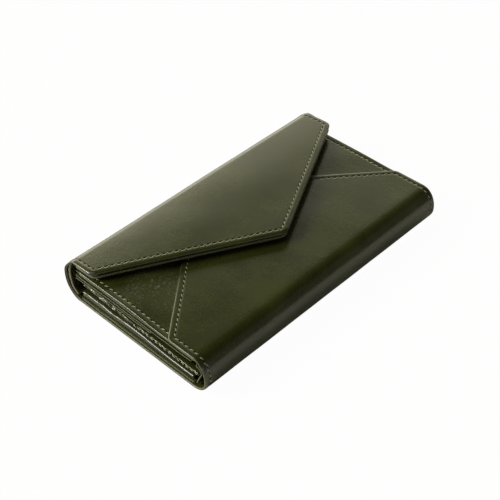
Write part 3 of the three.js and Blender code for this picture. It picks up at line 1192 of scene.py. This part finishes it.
class WALLET_OT_stage(WalletOperator, bpy.types.Operator):
    """Camera, white floor, lamps and studio world"""

    bl_idname = "wallet.stage"
    bl_label = "Stage"

    def execute(self, context):
        add_camera()
        add_floor()
        for lamp in LAMPS:
            add_lamp(*lamp)
        light_world()
        context.scene.view_settings.view_transform = "Standard"
        return {"FINISHED"}


class WALLET_OT_cover(WalletOperator, bpy.types.Operator):
    """Cover leather: back, front fold, front panel and the two side wings"""

    bl_idname = "wallet.cover"
    bl_label = "Cover"

    def execute(self, context):
        leather = glazed_leather(*COVER_HIDE)
        cover = cover_sheet().build(leather)
        settle(cover, ["outer_cover"], "case")
        scuffed = glazed_leather("wing_hide", 1.0, 0.15, scuffs=True)
        for side in (-1, 1):
            wing = wing_sheet(side).build(scuffed if side < 0 else leather)
            settle(wing, [f"wing_panel_{side_word(side)}"], "case")
        return {"FINISHED"}


class WALLET_OT_flap(WalletOperator, bpy.types.Operator):
    """Flap and spine leather, the flap's lining and its board"""

    bl_idname = "wallet.flap"
    bl_label = "Flap and spine"

    def execute(self, context):
        leather = glazed_leather(*COVER_HIDE)
        bend(flap_sheet().build(leather), ["flap_outer"])
        lining = glazed_leather(*LINING_HIDE)
        settle(flap_lining_sheet().build(lining), ["flap_lining"], "flap")
        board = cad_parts["flap_core"]
        board.data.materials.clear()
        board.data.materials.append(board_finish())
        return {"FINISHED"}


class WALLET_OT_linings(WalletOperator, bpy.types.Operator):
    """Linings of the front, the back, the spine and the front fold"""

    bl_idname = "wallet.linings"
    bl_label = "Linings"

    def execute(self, context):
        lining = glazed_leather(*LINING_HIDE)
        for node, rise in (("front_lining", 1.35), ("back_lining", 0.0)):
            settle(layer_sheet(node, rise).build(lining), [node], "case")
        # Painted shade: a darker copy of the lining leather for the spine's and the front fold's
        # linings, which lie in the wallet's shaded hollows
        shaded = glazed_leather("shade_darkened_hide", 0.6, 0.4)
        bend(spine_lining_sheet().build(shaded), ["spine_lining"])
        settle(fold_lining_sheet().build(shaded), ["fold_lining"], "case")
        return {"FINISHED"}


class WALLET_OT_cards(WalletOperator, bpy.types.Operator):
    """Card backing and card slots"""

    bl_idname = "wallet.cards"
    bl_label = "Card layers"

    def execute(self, context):
        leather = glazed_leather("card_hide", 0.8, 0.3)
        for i, node in enumerate(("card_backing", "card_slot_1", "card_slot_2", "card_slot_3")):
            # Every other layer ends a little further in, and its cut edge is painted darker there
            # as shade in the gaps between the layers
            tuck, pale = (-0.6, 0.6) if i % 2 else (0.9, 0.2)
            piece = layer_sheet(node, 1.2 - 0.2 * i, tuck, pale).build(leather)
            settle(piece, [node], "case")
        return {"FINISHED"}


class WALLET_OT_pocket(WalletOperator, bpy.types.Operator):
    """Flat pocket with its crumpled ends, and the gussets of the bill compartment"""

    bl_idname = "wallet.pocket"
    bl_label = "Pocket and gussets"

    def execute(self, context):
        leather = glazed_leather(*GUSSET_HIDE)
        for node in ("pocket_back_panel", "pocket_front_panel"):
            settle(pocket_sheet(node).build(leather), [node], "case")
        for side in (-1, 1):
            word = side_word(side)
            settle(pocket_binding(side), [f"pocket_binding_{word}"], "case")
            settle(gusset(side), [f"gusset_{word}"], "case")
        return {"FINISHED"}


class WALLET_OT_stitching(WalletOperator, bpy.types.Operator):
    """Rows of thread along the edges"""

    bl_idname = "wallet.stitching"
    bl_label = "Stitching"

    def execute(self, context):
        soft, bright = thread_finish(*SOFT_THREAD), thread_finish(*BRIGHT_THREAD)
        cover = stitch_row("cover_stitches", [cover_sheet()], soft)
        settle(cover, [], "case")
        sides = [wing_sheet(side) for side in (-1, 1)]
        wings = stitch_row("wing_stitches", sides, bright, past_front_panel)
        settle(wings, [], "case")
        settle(pocket_stitches(), [], "case")
        flap = stitch_row("flap_stitches", [flap_sheet()], soft)
        bend(flap, [])
        return {"FINISHED"}


class WALLET_OT_snap(WalletOperator, bpy.types.Operator):
    """Metal of the magnetic snap"""

    bl_idname = "wallet.snap"
    bl_label = "Snap"

    def execute(self, context):
        for node in ("snap_socket", "snap_stud", "snap_socket_washer", "snap_stud_washer"):
            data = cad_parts[node].data
            data.materials.clear()
            data.materials.append(snap_finish())
        return {"FINISHED"}


OPERATORS = (
    WALLET_OT_stage,
    WALLET_OT_cover,
    WALLET_OT_flap,
    WALLET_OT_linings,
    WALLET_OT_cards,
    WALLET_OT_pocket,
    WALLET_OT_stitching,
    WALLET_OT_snap,
)


class WALLET_PT_pieces(bpy.types.Panel):
    """Lists the wallet's pieces and settings"""

    bl_label = "Envelope wallet"
    bl_idname = "WALLET_PT_pieces"
    bl_space_type = "VIEW_3D"
    bl_region_type = "UI"
    bl_category = "Wallet"

    def draw(self, context):
        layout = self.layout
        for settings in (context.scene.wallet_sizes, context.scene.wallet_colours):
            for key in settings.bl_rna.properties.keys():
                if key not in {"name", "rna_type"}:
                    layout.prop(settings, key)
        for operator in OPERATORS:
            layout.operator(operator.bl_idname)


CLASSES = (WalletSizes, WalletColours, *OPERATORS, WALLET_PT_pieces)


def register():
    for cls in CLASSES:
        bpy.utils.register_class(cls)
    bpy.types.Scene.wallet_sizes = bpy.props.PointerProperty(type=WalletSizes)
    bpy.types.Scene.wallet_colours = bpy.props.PointerProperty(type=WalletColours)


def unregister():
    del bpy.types.Scene.wallet_colours
    del bpy.types.Scene.wallet_sizes
    for cls in reversed(CLASSES):
        bpy.utils.unregister_class(cls)


def main():
    register()
    for operator in OPERATORS:
        group, name = operator.bl_idname.split(".")
        getattr(getattr(bpy.ops, group), name)()


if __name__ == "__main__":
    main()
